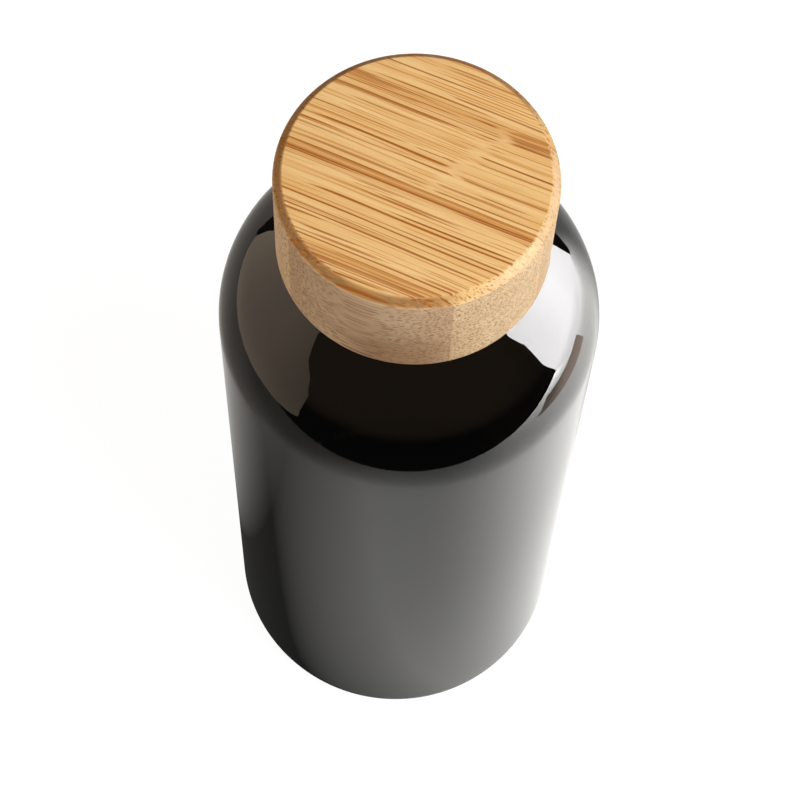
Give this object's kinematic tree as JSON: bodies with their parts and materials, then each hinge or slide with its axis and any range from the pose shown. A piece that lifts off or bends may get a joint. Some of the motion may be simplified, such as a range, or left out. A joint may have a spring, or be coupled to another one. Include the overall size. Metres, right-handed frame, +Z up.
{
  "type": "glass water bottle",
  "caption": "Dark tinted glass water bottle, round body with a rounded shoulder and threaded neck, closed by a screw-on bamboo lid with a liner and a seal ring.",
  "frame": {"origin": "middle of the base, on the surface that the bottle stands on", "axes": "+Z up along the bottle's axis, -Y towards the side that the lid's narrow front strip is on"},
  "size_m": [0.072, 0.072, 0.2],
  "materials": {
    "smoked_glass": "glossy",
    "bamboo": "satin",
    "liner": "satin",
    "seal": "matte"
  },
  "bodies": {
    "bottle": {"glass_bottle": "smoked_glass"},
    "seal_carrier": {"seal_ring": "seal"},
    "lid": {"threaded_liner": "liner", "bamboo_strip_front": "bamboo", "bamboo_strip_mid_front": "bamboo", "bamboo_strip_mid_back": "bamboo", "bamboo_strip_back": "bamboo"}
  },
  "joints": [
    {"name": "lid_lift", "type": "slide", "parent": "bottle", "child": "seal_carrier", "axis": [0, 0, 1], "range_m": [0, 0.018]},
    {"name": "lid_turn", "type": "hinge", "parent": "seal_carrier", "child": "lid", "pos_m": [0, 0, 0.1877], "axis": [0, 0, 1], "range_deg": [0, 1080]}
  ],
  "couplings": [
    {"joint": "lid_lift", "follows": "lid_turn", "m_per_rad": 0.00095493}
  ]
}
